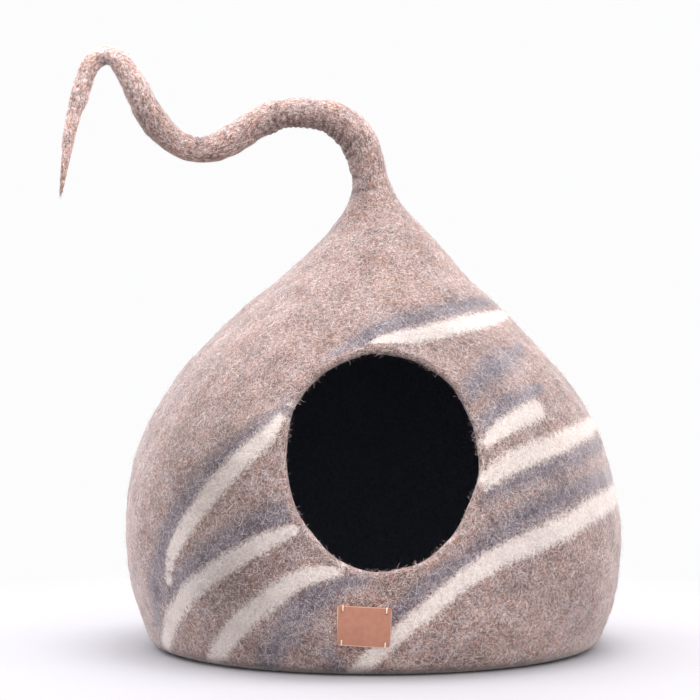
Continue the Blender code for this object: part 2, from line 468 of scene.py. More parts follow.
def eased(value, low, high):
    """0 up to low, 1 from high, and smooth between."""
    share = np.clip((value - low) / (high - low), 0, 1)
    return share * share * (3 - 2 * share)


skin = np.isin(kind, (OUTER, RIM))
skin_places, skin_normals = on_face(outer, heading[skin], run[skin])
lumpy = swells(skin_places, [(0.085, 0.0024), (0.030, 0.0011), (0.012, 0.0006)])
lumpy += swells(skin_places * (1, 1, 5), [(0.060, 0.0006)])
label_run = np.interp(LABEL_CENTRE[1], outer[:, 0], wall_run)
label_place, label_out = on_face(outer, LABEL_CENTRE[0], label_run)
from_label = np.linalg.norm(skin_places - label_place, axis=1)
lumpy *= eased(skin_places[:, 2], 0.0, 0.04) * eased(from_label, 0.032, 0.060)
lumpy *= 1 - eased(skin_places[:, 2], NECK - 0.03, NECK)
places[skin] += skin_normals * lumpy[:, None]

# The tail is rolled between the hands: it is lumpier, and creased on the inside
# of its bends. Each crease is its run from the neck and its middle heading, how far
# round it reaches in degrees, its strength, its half width in mm, and its slant.
CREASE_DEPTH = 0.0013                      # of a crease whose strength is 1
CREASES = [
    (0.006, -45, 55, 1.5, 3.0, 0.2),
    (0.016, -20, 30, 0.9, 2.5, 0.5),
    (0.024, -70, 45, 1.2, 3.0, -0.3),
    (0.036, -40, 35, 0.9, 2.4, 0.5),
    (0.046, -80, 60, 1.4, 2.6, 0.3),
    (0.056, -60, 55, 1.5, 2.2, 0.5),
    (0.064, -85, 60, 1.3, 2.0, 0.4),
    (0.073, -60, 60, 1.7, 2.4, 0.5),
    (0.081, -80, 55, 1.2, 1.8, 0.2),
    (0.088, -55, 45, 1.5, 2.2, 0.3),
    (0.096, -70, 60, 1.3, 1.8, 0.1),
    (0.103, -55, 50, 1.7, 2.1, 0.1),
    (0.110, -75, 55, 1.3, 1.7, -0.1),
    (0.117, -60, 55, 1.8, 2.2, 0.0),
    (0.124, -70, 60, 1.4, 1.9, 0.1),
    (0.130, -55, 50, 1.5, 1.8, 0.0),
    (0.137, -75, 55, 1.6, 2.0, 0.1),
    (0.144, -55, 50, 1.8, 2.1, 0.1),
    (0.151, -70, 55, 1.5, 1.8, 0.2),
    (0.158, -55, 45, 1.6, 2.0, 0.2),
    (0.165, -70, 50, 1.3, 1.9, 0.2),
    (0.173, -60, 40, 1.1, 2.2, 0.3),
    (0.184, -70, 40, 0.7, 2.4, 0.2),
    (0.200, -80, 35, 0.5, 2.6, 0.2),
    (0.231, 80, 50, 1.0, 2.6, 0.0),
    (0.240, 70, 60, 1.9, 2.6, -0.2),
    (0.249, 85, 50, 0.9, 2.4, -0.3),
    (0.290, -70, 40, -1.0, 4.0, 0.0),
    (0.305, -60, 40, 0.9, 3.0, -0.3),
    (0.352, 60, 40, 0.7, 3.0, 0.3),
    (0.381, -80, 60, 1.7, 2.4, 0.0),
    (0.388, -60, 50, 0.9, 1.8, 0.2),
    (0.402, -70, 50, 0.8, 2.4, -0.2),
    (0.416, -60, 40, 0.8, 2.2, 0.3),
    (0.434, 30, 90, 1.1, 1.6, 0.1),
    (0.440, 20, 90, 1.2, 1.5, -0.1),
    (0.446, 40, 90, 0.9, 1.5, 0.1),
    (0.463, -40, 60, 0.5, 2.0, 0.2),
    (0.482, 60, 60, 0.5, 2.0, -0.2),
]
rolled = kind == ROLL
roll_heading, roll_place = heading[rolled], run[rolled]
thick = np.interp(roll_place, roll_run, route[:, 3])
centres = np.column_stack([np.interp(roll_place, roll_run, axis) for axis in route[:, :3].T])
straight = np.column_stack([
    thick / 2 * np.sin(roll_heading), -thick / 2 * np.cos(roll_heading), roll_place,
])
lumpy = swells(straight, [(0.035, 0.0016), (0.013, 0.0010), (0.006, 0.0004)])
# painted shade: each crease also darkens the wool's colour in and around it, as its shadow would
crease_painted_shade = np.zeros(len(straight))
for at, side, reach, strength, half, slant in CREASES:
    off = (roll_heading - radians(side) + pi) % tau - pi
    near = np.exp(-(off / radians(reach)) ** 2)
    along = (roll_place - at - slant * off * thick / 2) / (half / 1000)
    # the wool that it pushes aside swells up on both sides, and the crease's painted shade spreads
    # out past it
    groove = np.exp(-along**2) - 0.4 * np.exp(-(along / 2.2) ** 2)
    shade = np.maximum(np.exp(-along**2), 0.35 * np.exp(-(along / 4) ** 2))
    lumpy -= CREASE_DEPTH * strength * near * groove
    crease_painted_shade = np.maximum(crease_painted_shade, strength * near * shade)
lumpy *= eased(roll_place, 0.0, 0.006) * np.minimum(1, thick / 0.016)
outward = (places[rolled] - centres) / (thick / 2)[:, None]
places[rolled] += outward * lumpy[:, None]

# White and blue-grey wool laid in streaks over the brown before felting. Each row
# is a point of a streak: heading in degrees, height, and half its width in mm.
NO_STREAK = -3.0                           # the share of wool that no streak comes near
WHITE_STREAKS = [
    [(-22, 0.251, 2.5), (-24, 0.229, 8), (-30.5, 0.203, 10), (-38, 0.170, 10.5), (-45, 0.136, 9.5),
     (-50, 0.108, 7.5), (-52.5, 0.082, 5.5)],
    [(-16, 0.139, 5), (-25, 0.123, 8), (-35, 0.098, 9.5), (-46, 0.070, 9.5), (-56, 0.037, 9),
     (-63, 0.013, 8)],
    [(-7, 0.102, 5), (-16, 0.092, 8.5), (-24, 0.070, 9.5), (-33, 0.042, 10), (-43, 0.006, 8)],
    [(-5, 0.004, 8), (1, 0.027, 8), (10, 0.061, 8), (20, 0.094, 9), (29, 0.113, 10),
     (45, 0.132, 11), (60, 0.148, 11), (80, 0.156, 9), (100, 0.158, 2)],
    [(24, 0.179, 9), (35, 0.198, 10.5), (48, 0.210, 10), (62, 0.219, 9), (78, 0.225, 7),
     (92, 0.226, 1)],
    [(25, 0.211, 5), (34, 0.229, 8), (44, 0.241, 10), (48, 0.244, 9.5)],
    [(-1, 0.305, 2), (6, 0.311, 7), (20, 0.316, 10), (36, 0.324, 10), (56, 0.330, 8),
     (80, 0.334, 4), (92, 0.334, 1)],
]
GREY_STREAKS = [
    [(-11, 0.293, 8), (-20, 0.250, 9), (-28, 0.229, 10), (-35, 0.203, 12), (-43, 0.170, 13),
     (-51, 0.128, 13), (-57, 0.083, 12), (-62, 0.045, 11), (-64, 0.018, 8)],
    [(-19, 0.153, 10), (-27, 0.138, 14), (-37, 0.112, 13), (-48, 0.082, 10), (-54, 0.062, 6)],
    [(-2, 0.094, 5), (-9, 0.086, 10), (-15, 0.069, 14), (-21, 0.042, 14), (-28, 0.004, 10)],
    [(-11, 0.022, 6), (-9, 0.003, 9)],
    [(2, 0.050, 5), (10, 0.084, 9), (20, 0.109, 10), (29, 0.134, 11), (40, 0.154, 11),
     (55, 0.167, 11), (75, 0.174, 9), (95, 0.175, 2)],
    [(21, 0.162, 8), (30, 0.176, 10), (45, 0.191, 11), (62, 0.202, 10), (80, 0.207, 6),
     (93, 0.207, 1)],
    [(23, 0.221, 6), (32, 0.240, 9), (41, 0.253, 9), (54, 0.264, 5)],
    [(23, 0.250, 8), (30, 0.270, 12), (42, 0.287, 12), (60, 0.302, 6)],
    [(-11, 0.295, 8), (2, 0.318, 10), (17, 0.330, 11), (31, 0.337, 11), (53, 0.344, 9),
     (75, 0.346, 5), (90, 0.346, 1)],
]


def laid_in(streaks, heading, run):
    """1 along the middle of the nearest streak, 0 at its edge, less beyond it."""
    radius = np.interp(run, wall_run, outer[:, 1])
    best = np.full(len(heading), NO_STREAK)
    for streak in streaks:
        rows = [(radians(at), np.interp(up, outer[:, 0], wall_run), half / 1000)
                for at, up, half in streak]
        for at, up, half in spaced(smooth(rows, 6), 0.02, 1):
            off = np.hypot((heading - at) * radius, run - up)
            best = np.maximum(best, 1 - off / half)
    return best


# Where the wool is looked up: in place on the wall, and along the straightened
# tail, where the fibres are drawn out lengthwise.
lay = places.copy()
lay[rolled] = straight
lay[rolled, 2] = NECK + np.minimum(roll_place, 0.04) * 0.25 + roll_place * 0.75

# the streaks stop short of the door's rounded edge
from_door = (door_share(skin_places)[0] - 1) * DOOR_HALF.mean()
lip = 1 - eased(from_door, 0.002, 0.009)
fields = {}
for name, streaks in (("white_wool", WHITE_STREAKS), ("grey_wool", GREY_STREAKS)):
    fields[name] = np.full(len(places), NO_STREAK)
    fields[name][skin] = laid_in(streaks, heading[skin], run[skin]) - 2.0 * lip
# The colour is paler in some places and darker in others, partly the wool's own tone
# and partly painted light and shade. Each is a heading in degrees, a height, how far it
# reaches, and how much paler it is. Along the tail, a row of runs from the neck stands
# over their paleness, which is mostly painted light.
LIGHT_AND_TONE_PATCHES = [
    (-64, 0.235, 0.110, -0.03),
    (-82, 0.110, 0.080, 0.12),
    (-40, 0.180, 0.060, -0.38),
    (-33, 0.078, 0.058, -0.38),
    (10, 0.030, 0.110, 0.08),
    (35, 0.120, 0.050, -0.10),
    (45, 0.225, 0.075, -0.20),
    (20, 0.320, 0.060, -0.27),
    (88, 0.170, 0.090, -0.14),
]
TAIL_LIGHT_AND_TONE = (
    (0.0, 0.03, 0.10, 0.22, 0.30, 0.36, 0.40, 0.47, 0.55),
    (1.0, 1.15, 1.3, 1.5, 1.1, 1.8, 2.7, 2.1, 2.0),
)
fields["painted_light_and_tone"] = np.ones(len(places))
for at, up, reach, more in LIGHT_AND_TONE_PATCHES:
    middle = on_face(outer, radians(at), np.interp(up, outer[:, 0], wall_run))[0]
    away = np.linalg.norm(skin_places - middle, axis=1)
    fields["painted_light_and_tone"][skin] += more * np.exp(-(away / reach) ** 2)
# painted shade: the turn of the base is darkened, as the floor's contact shadow would darken it
fields["painted_light_and_tone"][skin] *= 0.5 + 0.5 * eased(skin_places[:, 2], 0.001, 0.013)
fields["painted_light_and_tone"][rolled] = np.interp(roll_place, *TAIL_LIGHT_AND_TONE)
# the painted shade of the tail's creases
fields["pit"] = np.zeros(len(places))
fields["pit"][rolled] = np.clip(crease_painted_shade, 0, 1)
fields["inside"] = (kind == INNER).astype(float)
rim_rows = np.flatnonzero(kind == RIM).reshape(-1, len(rim_turns))
fields["inside"][rim_rows[-2:]] = 1.0
fields["inside"][rim_rows[-3]] = 0.5


def put(mesh, name, values):
    """Stores a value, or a vector, for each point of a mesh."""
    values = np.asarray(values, np.float32)
    kind, part = ("FLOAT", "value") if values.ndim == 1 else ("FLOAT_VECTOR", "vector")
    mesh.attributes.new(name, kind, "POINT").data.foreach_set(part, values.ravel())


mesh = bpy.data.meshes.new("felt_shell")
mesh.from_pydata(places.tolist(), [], faces)
for name, values in fields.items():
    put(mesh, name, values)
put(mesh, "lay", lay)
mesh.update()
mesh.shade_smooth()
felt_shell = placed("felt_shell", mesh)


def stored(tree, name, output="Fac"):
    """What the mesh stores under a name."""
    return node(tree, "Attribute", {"attribute_name": name}).outputs[output]


def maths(tree, operation, *values, clamp=False):
    """The result of one sum."""
    made = tree.nodes.new("ShaderNodeMath")
    made.operation = operation
    made.use_clamp = clamp
    for socket, value in zip(made.inputs, values):
        feed(tree, socket, value)
    return made.outputs[0]


def speckle(tree, where, size, detail=1.0, distortion=0.0):
    """Noise about 0.5 whose blots are about as wide as size."""
    return node(
        tree, "TexNoise", Vector=where, Scale=1 / size, Detail=detail, Distortion=distortion,
    ).outputs["Fac"]


def ramp(tree, value, stops):
    """Colours at their places along a ramp."""
    made = node(tree, "ValToRGB", Fac=value)
    elements = made.color_ramp.elements
    while len(elements) < len(stops):
        elements.new(0.5)
    for element, (at, colour) in zip(elements, stops):
        element.position = at
        element.color = (*colour, 1.0)
    return made.outputs["Color"]


def blend(tree, share, under, over, how="MIX"):
    """One colour laid over another by a share."""
    made = node(tree, "Mix", {"data_type": "RGBA", "blend_type": how}, Factor=share)
    feed(tree, made.inputs[6], under)
    feed(tree, made.inputs[7], over)
    return made.outputs[2]


def stretch(tree, value, low, high):
    """The value eased from 0 at low to 1 at high."""
    return node(
        tree, "MapRange", {"interpolation_type": "SMOOTHSTEP"},
        Value=value, From_Min=low, From_Max=high,
    ).outputs["Result"]


def shader_group(name, takes, gives):
    """An empty node group with named inputs and outputs, and its two ends."""
    group = bpy.data.node_groups.new(name, "ShaderNodeTree")
    for title, kind in takes:
        group.interface.new_socket(title, in_out="INPUT", socket_type="NodeSocket" + kind)
    for title, kind in gives:
        group.interface.new_socket(title, in_out="OUTPUT", socket_type="NodeSocket" + kind)
    return group, group.nodes.new("NodeGroupInput"), group.nodes.new("NodeGroupOutput")


def fibre_lines(tree, where, size):
    """Thin curling lines, as of fibres that lie on the surface."""
    wavy = speckle(tree, where, size, 1.0, 2.5)
    off = maths(tree, "ABSOLUTE", maths(tree, "MULTIPLY_ADD", wavy, 6.0, -3.0))
    return maths(tree, "POWER", maths(tree, "SUBTRACT", 1.0, off, clamp=True), 1.6)


# Brown, white and grey wool are carded from fibres of mixed shades, so each is
# flecked. Where two meet they are felted into one another with a ragged edge.
felted_wool, given, result = shader_group(
    "felted_wool",
    [("Lay", "Vector"), ("White", "Float"), ("Grey", "Float"), ("Painted_light_and_tone", "Float")],
    [("Colour", "Color"), ("Height", "Float")],
)
where = given.outputs["Lay"]
moved = node(felted_wool, "VectorMath", {"operation": "ADD"}, Vector=where)
feed(felted_wool, moved.inputs[1], (3.1, 1.7, 0.4))
elsewhere = moved.outputs["Vector"]
clouds = speckle(felted_wool, where, 0.030, 3)
clumps = speckle(felted_wool, where, 0.0030, 2, 0.6)
flecks = speckle(felted_wool, where, 0.0013, 1, 0.5)
pale_lines = fibre_lines(felted_wool, where, 0.0042)
dark_lines = fibre_lines(felted_wool, elsewhere, 0.0036)
# each noise is about 0.5, so half its share is taken off to keep the tone about 0.5
tone = 0.5 - 0.5 * (0.55 + 0.90 + 0.70)
for mask, share in (
    (clouds, 0.55), (clumps, 0.90), (flecks, 0.70), (pale_lines, 0.30), (dark_lines, -0.28),
):
    tone = maths(felted_wool, "MULTIPLY_ADD", mask, share, tone)
brown = ramp(felted_wool, tone, [
    (0.02, (0.050, 0.035, 0.034)), (0.35, (0.150, 0.104, 0.096)),
    (0.62, (0.325, 0.243, 0.224)), (0.98, (0.66, 0.575, 0.57)),
])
# a rusty cast drifts through the brown
rusty = stretch(felted_wool, speckle(felted_wool, elsewhere, 0.0075, 3, 0.8), 0.40, 0.66)
brown = blend(felted_wool, rusty, brown, (1.05, 0.87, 0.78), "MULTIPLY")
white = ramp(felted_wool, tone, [
    (0.0, (0.36, 0.31, 0.285)), (0.4, (0.575, 0.50, 0.465)), (0.9, (0.74, 0.665, 0.62)),
])
grey = ramp(felted_wool, tone, [
    (0.05, (0.037, 0.034, 0.047)), (0.4, (0.096, 0.087, 0.112)), (0.9, (0.31, 0.285, 0.32)),
])
# where two wools meet, the clumps and flecks cross over
ragged = maths(felted_wool, "MULTIPLY_ADD", clumps, 1.6, -0.8)
ragged = maths(felted_wool, "MULTIPLY_ADD", flecks, 1.0, maths(felted_wool, "ADD", ragged, -0.5))
greyed = stretch(felted_wool, maths(felted_wool, "ADD", given.outputs["Grey"], ragged), -0.9, 0.9)
greyed = maths(felted_wool, "MULTIPLY", greyed, 0.85)
ragged = maths(felted_wool, "MULTIPLY_ADD", ragged, 0.6, given.outputs["White"])
whitened = stretch(felted_wool, ragged, -0.5, 0.45)
colour = blend(felted_wool, greyed, brown, grey)
colour = blend(felted_wool, whitened, colour, white)
# the wool's own tone, and painted light and shade, scale the colour
with_painted_light = node(
    felted_wool, "VectorMath", {"operation": "SCALE"}, Vector=colour, Scale=given.outputs["Painted_light_and_tone"],
)
feed(felted_wool, result.inputs["Colour"], with_painted_light.outputs["Vector"])
height = maths(felted_wool, "MULTIPLY_ADD", flecks, 0.5, clumps)
height = maths(felted_wool, "MULTIPLY_ADD", pale_lines, 0.12, height)
feed(felted_wool, result.inputs["Height"], height)

felt, tree, shader = finish(
    "brown_felt", Roughness=0.92, Specular_IOR_Level=0.2,
    Sheen_Weight=0.5, Sheen_Roughness=0.45, Sheen_Tint=(1.0, 0.93, 0.90),
)
wool = node(tree, "Group", {"node_tree": felted_wool})
feed(tree, wool.inputs["Lay"], stored(tree, "lay", "Vector"))
feed(tree, wool.inputs["White"], stored(tree, "white_wool"))
feed(tree, wool.inputs["Grey"], stored(tree, "grey_wool"))
feed(tree, wool.inputs["Painted_light_and_tone"], stored(tree, "painted_light_and_tone"))
# the inside is near black, and painted shade darkens the pits of the tail's creases
near_black = ramp(tree, wool.outputs["Height"], [
    (0.3, (0.040, 0.044, 0.060)), (1.1, (0.10, 0.11, 0.145)),
])
shaded = maths(tree, "MULTIPLY", stored(tree, "pit"), 0.55)
outer_wool = blend(tree, shaded, wool.outputs["Colour"], (0.055, 0.042, 0.044))
colour = blend(tree, stored(tree, "inside"), outer_wool, near_black)
feed(tree, shader.inputs["Base Color"], colour)
raised = node(tree, "Bump", Strength=0.4, Distance=0.0007, Height=wool.outputs["Height"])
feed(tree, shader.inputs["Normal"], raised.outputs["Normal"])
mesh.materials.append(felt)

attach(felt_shell, "root")
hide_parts("cave_shell")

# ------------------------------------------------------------------- loose fibres
# Fibre ends work out of the felt all over. Most lie on it and curl, some stand up
# at one end, and along the cut edge of the door they spring out in loops.
chance = np.random.default_rng(7)
mesh.calc_loop_triangles()
corners = np.empty(len(mesh.loop_triangles) * 3, np.int64)
mesh.loop_triangles.foreach_get("vertices", corners)
corners = corners.reshape(-1, 3)
point_normals = np.empty(len(places) * 3)
mesh.vertex_normals.foreach_get("vector", point_normals)
point_normals = point_normals.reshape(-1, 3)

BROWN_FIBRES = [
    (0.72, 0.64, 0.62), (0.57, 0.47, 0.44), (0.45, 0.34, 0.305), (0.33, 0.23, 0.20),
    (0.22, 0.15, 0.13), (0.12, 0.08, 0.075), (0.07, 0.055, 0.055),
]
WHITE_FIBRES = [(0.90, 0.84, 0.79), (0.84, 0.77, 0.71), (0.74, 0.66, 0.60), (0.60, 0.49, 0.44)]
GREY_FIBRES = [
    (0.48, 0.455, 0.48), (0.25, 0.235, 0.265), (0.125, 0.115, 0.145), (0.065, 0.060, 0.080),
    (0.27, 0.20, 0.19),
]


def unit(vectors):
    """The vectors at a length of one."""
    return vectors / np.linalg.norm(vectors, axis=-1, keepdims=True)


def rooted(triangles, count):
    """Even random roots on some of the shell's triangles, and the normals there.

    It returns a function too, which spreads the points' values to the roots, and
    one corner of each root's triangle.
    """
    a, b, c = (places[triangles[:, i]] for i in range(3))
    area = np.linalg.norm(np.cross(b - a, c - a), axis=1)
    chosen = triangles[chance.choice(len(triangles), count, p=area / area.sum())]
    share = chance.dirichlet((1, 1, 1), count)

    def spread(values):
        return np.einsum("ij,ij...->i...", share, values[chosen])

    return spread(places), unit(spread(point_normals)), spread, chosen[:, 0]


shell = BVHTree.FromPolygons(places.tolist(), corners.tolist())


def fibres(name, roots, normals, aim, shade, length, half, curl, rise, spans=6, lies=True):
    """Narrow ribbons that curl about their roots, as one piece with their shades.

    curl is how far a fibre turns over half its length, and rise how high one end
    stands. A fibre that lies on the shell follows its every swell.
    """
    count = len(roots)
    aim = unit(aim - (aim * normals).sum(1)[:, None] * normals)
    across = np.cross(normals, aim)
    along = np.linspace(-1, 1, spans + 1)
    wave = chance.uniform(-1, 1, (count, 2))
    turn = curl[:, None] * along + 0.5 * wave[:, :1] * np.sin(3.5 * along + 3 * wave[:, 1:])
    step = (length / spans)[:, None]
    forward, sideways = np.cos(turn) * step, np.sin(turn) * step
    middle = spans // 2

    def from_middle(moves):
        path = np.cumsum((moves[:, 1:] + moves[:, :-1]) / 2, axis=1)
        path = np.column_stack([np.zeros(count), path])
        return path - path[:, middle:middle + 1]

    lift = 0.00006 + 0.00016 * chance.random(count)[:, None]
    lift = lift + rise[:, None] * ((along + 1) / 2) ** 2
    line = roots[:, None] + from_middle(forward)[..., None] * aim[:, None]
    line = line + from_middle(sideways)[..., None] * across[:, None]
    if lies:
        nearest = [shell.find_nearest(point)[0] for point in line.reshape(-1, 3)]
        line = np.array(nearest).reshape(line.shape)
    line = line + lift[..., None] * normals[:, None]
    tangent = unit(np.gradient(line, axis=1))
    side = unit(np.cross(np.broadcast_to(normals[:, None], tangent.shape), tangent))
    twist = chance.uniform(-0.4, 0.4, (count, 1, 1))
    side = side * np.cos(twist) + np.cross(tangent, side) * np.sin(twist)
    side = side * (half[:, None] * (1 - 0.6 * np.abs(along) ** 3))[..., None]
    verts = np.stack([line - side, line + side], axis=2).reshape(-1, 3)
    verts[:, 2] = np.maximum(verts[:, 2], 0.0002)     # none dips under the floor
    first = (np.arange(count) * 2 * (spans + 1))[:, None] + 2 * np.arange(spans)
    quads = np.stack([first, first + 2, first + 3, first + 1], axis=-1).reshape(-1, 4)
    made = bpy.data.meshes.new(name)
    made.vertices.add(len(verts))
    made.vertices.foreach_set("co", verts.ravel())
    made.loops.add(quads.size)
    made.loops.foreach_set("vertex_index", quads.ravel())
    made.polygons.add(len(quads))
    made.polygons.foreach_set("loop_start", np.arange(0, quads.size, 4))
    made.update()
    made.validate()
    made.shade_smooth()
    colours = np.ones((len(verts), 4), np.float32)
    colours[:, :3] = np.repeat(shade, 2 * (spans + 1), axis=0)
    stored_shades = made.color_attributes.new("shade", "FLOAT_COLOR", "POINT")
    stored_shades.data.foreach_set("color", colours.ravel())
    made.materials.append(fibre)
    piece = placed(name, made)
    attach(piece, "root")


def picked(choices, weights, count):
    """Random shades out of a list, each a little off."""
    chosen = chance.choice(len(choices), count, p=np.array(weights) / sum(weights))
    chosen = np.array(choices)[chosen] * chance.uniform(0.88, 1.1, (count, 1))
    warmer = 1 + chance.normal(0, 1, (count, 1)) * (0.05, 0, -0.06)
    return np.clip(chosen * warmer, 0.02, 0.95)


def wool_shades(white, grey, finer=0.0):
    """Shades for fibres by the wool that they stand in, more alike in finer wool."""
    count = len(white)
    shade = picked(BROWN_FIBRES, (5, 6, 5, 3, 2, 1, 0.3), count)
    middle_brown = np.array((0.45, 0.345, 0.315))
    shade = shade + (middle_brown - shade) * np.reshape(finer, (-1, 1))
    greyed = grey + chance.normal(0, 0.5, count) > 0
    shade[greyed] = picked(GREY_FIBRES, (4, 3, 4, 2, 2), greyed.sum())
    # no dark fibres cross into the white wool
    beside = white > -1.3
    shade[beside] = np.maximum(shade[beside], (0.34, 0.255, 0.23))
    whitened = white + chance.normal(0, 0.35, count) > 0
    shade[whitened] = picked(WHITE_FIBRES, (5, 5, 3, 1.2), whitened.sum())
    return shade


fibre, tree, shader = finish(
    "wool_fibre", Roughness=0.9, Specular_IOR_Level=0.15,
    Sheen_Weight=0.25, Sheen_Tint=(0.97, 0.94, 1.0),
)
feed(tree, shader.inputs["Base Color"], stored(tree, "shade", "Color"))

on_wall = (kind[corners] == OUTER).all(axis=1)
on_rim = (kind[corners] == RIM).any(axis=1)
on_tail = (kind[corners] == ROLL).all(axis=1)
middles = places[corners].mean(axis=1)
bearing = np.arctan2(middles[:, 0], -middles[:, 1])
quarter = np.floor((bearing + pi / 4) / (pi / 2)) % 4
# none grow where the wall meets the floor, or from under the label
off_floor = middles[:, 2] > 0.004
label_away = np.abs(middles - label_place)
off_label = (label_away[:, 0] > 0.030) | (label_away[:, 2] > 0.0225) | (middles[:, 1] > 0)

for name, facing, count in (
    ("left_fibres", 3, 15500), ("front_fibres", 0, 15500),
    ("right_fibres", 1, 15500), ("back_fibres", 2, 9000),
):
    part = on_wall & off_floor & off_label & (quarter == facing)
    roots, normals, spread, _ = rooted(corners[part], count)
    finer = 0.45 * eased(roots[:, 2], 0.12, 0.30)
    shade = wool_shades(spread(fields["white_wool"]), spread(fields["grey_wool"]), finer)
    # the fibres take on the same painted light and shade, and the wool's tone
    shade = shade * spread(fields["painted_light_and_tone"])[:, None]
    beside_white = np.abs(spread(fields["white_wool"]) + 0.3) < 1.0
    # painted light: fibres that stand up get the palest shades, in place of the light that shines
    # through them at the edges
    standing = chance.random(count) < 0.22
    painted_glow_shades = picked(BROWN_FIBRES, (5, 3, 0, 0, 0, 0, 0), standing.sum())
    shade[standing] = np.maximum(shade[standing], painted_glow_shades)
    warmth = swells(roots, [(0.055, 1.0)])[:, None]
    shade = np.clip(shade * (1 + warmth * (0.10, 0, -0.10)), 0.02, 0.95)
    fibres(
        name, roots, normals, chance.normal(size=(count, 3)), shade,
        length=chance.uniform(0.006, 0.018, count) * np.where(beside_white, 0.6, 1.0),
        half=chance.uniform(0.00005, 0.00011, count), curl=chance.normal(0, 1.0, count),
        rise=np.where(standing, chance.uniform(0.0006, 0.0038, count), 0.0),
    )

# the tail's fibres are drawn out lengthwise by the rolling
count = 7000
roots, normals, spread, corner = rooted(corners[on_tail], count)
lengthwise = ahead[np.clip(np.searchsorted(roll_run, run[corner]), 0, len(ahead) - 1)]
lengthwise = lengthwise + chance.normal(0, 0.35, (count, 3))
# there is no white on it, and the pits of its creases get grey fibres as painted shade
shade = wool_shades(np.full(count, NO_STREAK), spread(fields["pit"]) * 1.6 - 1.1)
# painted light and shade, and the wool's tone, scale the tail's fibres
shade = np.minimum(shade * spread(fields["painted_light_and_tone"])[:, None], 0.95)
fibres(
    "tail_fibres", roots, normals, lengthwise, shade,
    length=chance.uniform(0.004, 0.010, count), half=chance.uniform(0.00005, 0.00011, count),
    curl=chance.normal(0, 0.9, count),
    rise=np.where(chance.random(count) < 0.25, chance.uniform(0.0006, 0.0024, count), 0.0),
)

# the tip ends in a wisp
count = 140
tip_place, tip_ahead = route[-1, :3], ahead[-1]
start = tip_place - tip_ahead * chance.uniform(0, 0.008, (count, 1))
start = start + chance.normal(0, 0.0004, (count, 3))
sideways = unit(np.cross(tip_ahead, chance.normal(size=(count, 3))))
fibres(
    "tip_wisp", start, sideways, tip_ahead + chance.normal(0, 0.07, (count, 3)),
    picked(BROWN_FIBRES, (5, 6, 5, 3, 2, 2, 1), count),
    length=chance.uniform(0.008, 0.017, count), half=chance.uniform(0.00006, 0.00013, count),
    curl=chance.normal(0, 0.35, count), rise=chance.uniform(0, 0.0008, count), lies=False,
)

# the cut edge: curls lie along it and spring out over the opening
count = 1600
outer_rim = on_rim & ~(kind[corners] == INNER).any(axis=1)
roots, normals, spread, _ = rooted(corners[outer_rim], count)
to_middle = unit(DOOR_CENTRE - roots)
round_edge = unit(np.cross(np.broadcast_to(DOOR_OUT, roots.shape), to_middle))
fibres(
    "door_edge_fibres", roots, normals,
    round_edge * chance.normal(0, 1, (count, 1)) + chance.normal(0, 0.6, (count, 3)),
    wool_shades(spread(fields["white_wool"]) - 0.3, spread(fields["grey_wool"]) - 0.3),
    length=chance.uniform(0.005, 0.013, count), half=chance.uniform(0.00008, 0.00016, count),
    curl=chance.normal(0, 1.3, count),
    rise=np.where(chance.random(count) < 0.12, chance.uniform(0.001, 0.003, count), 0.0),
)
# the loops come in tufts, some degrees apart round the edge
count = 2600
roots, normals, _, _ = rooted(corners[on_rim], count)
to_middle = unit(DOOR_CENTRE - roots)
degrees_round = np.degrees(np.arctan2(roots[:, 2] - DOOR_CENTRE[2], roots[:, 0]))
tufted = swells(degrees_round[:, None] * (1, 0, 0), [(17.0, 1.0), (6.0, 0.7)])
kept = tufted + chance.normal(0, 0.22, count) > 0.22
roots, to_middle, count = roots[kept], to_middle[kept], kept.sum()
fibres(
    "door_edge_loops", roots + to_middle * 0.0005, DOOR_OUT + chance.normal(0, 0.3, (count, 3)),
    to_middle + chance.normal(0, 0.75, (count, 3)),
    picked(BROWN_FIBRES, (1, 4, 6, 5, 3, 1, 0), count),
    length=chance.uniform(0.004, 0.013, count), half=chance.uniform(0.00006, 0.00011, count),
    curl=chance.normal(0, 2.2, count), rise=chance.uniform(-0.002, 0.003, count), spans=8,
    lies=False,
)

# ----------------------------------------------------------------- leather label
# Thin tan leather with its corners rounded, sewn on below the door. One cream
# stitch comes out of each corner's hole and goes over the nearest edge.
label_mesh = bpy.data.objects["label_patch"].data.copy()
label = placed("leather_label", label_mesh)
softened = label.modifiers.new("worn_edge", "BEVEL")
softened.width = 0.00028
softened.segments = 3
softened.limit_method = "ANGLE"
softened.angle_limit = radians(40)
depsgraph = bpy.context.evaluated_depsgraph_get()
label_mesh = bpy.data.meshes.new_from_object(label.evaluated_get(depsgraph))
label.modifiers.clear()
label.data = label_mesh
label_mesh.shade_smooth()
label_mesh.materials.clear()

# across the leather, up it, and out of it
LABEL_TURN = radians(-3)
label_out = unit(label_out)
label_right = np.array((cos(LABEL_CENTRE[0]), sin(LABEL_CENTRE[0]), 0.0))
label_up = np.cross(label_out, label_right)
label_right, label_up = (
    label_right * cos(LABEL_TURN) + label_up * sin(LABEL_TURN),
    label_up * cos(LABEL_TURN) - label_right * sin(LABEL_TURN),
)
leather_points = np.array([v.co for v in label_mesh.vertices]) - label_place
put(label_mesh, "leather", leather_points @ np.column_stack([label_right, label_up, label_out]))

leather, tree, shader = finish("tan_leather")
on_leather = stored(tree, "leather", "Vector")
grain = node(tree, "TexVoronoi", {"feature": "DISTANCE_TO_EDGE"}, Vector=on_leather, Scale=1400.0)
pores = stretch(tree, grain.outputs["Distance"], 0.0, 0.25)
mottle = speckle(tree, on_leather, 0.006, 3)
hide = ramp(tree, mottle, [
    (0.3, (0.425, 0.185, 0.118)), (0.5, (0.455, 0.202, 0.130)), (0.7, (0.49, 0.222, 0.146)),
])
creased = maths(tree, "MULTIPLY", maths(tree, "SUBTRACT", 1.0, pores), 0.25)
hide = blend(tree, creased, hide, (0.30, 0.125, 0.08))
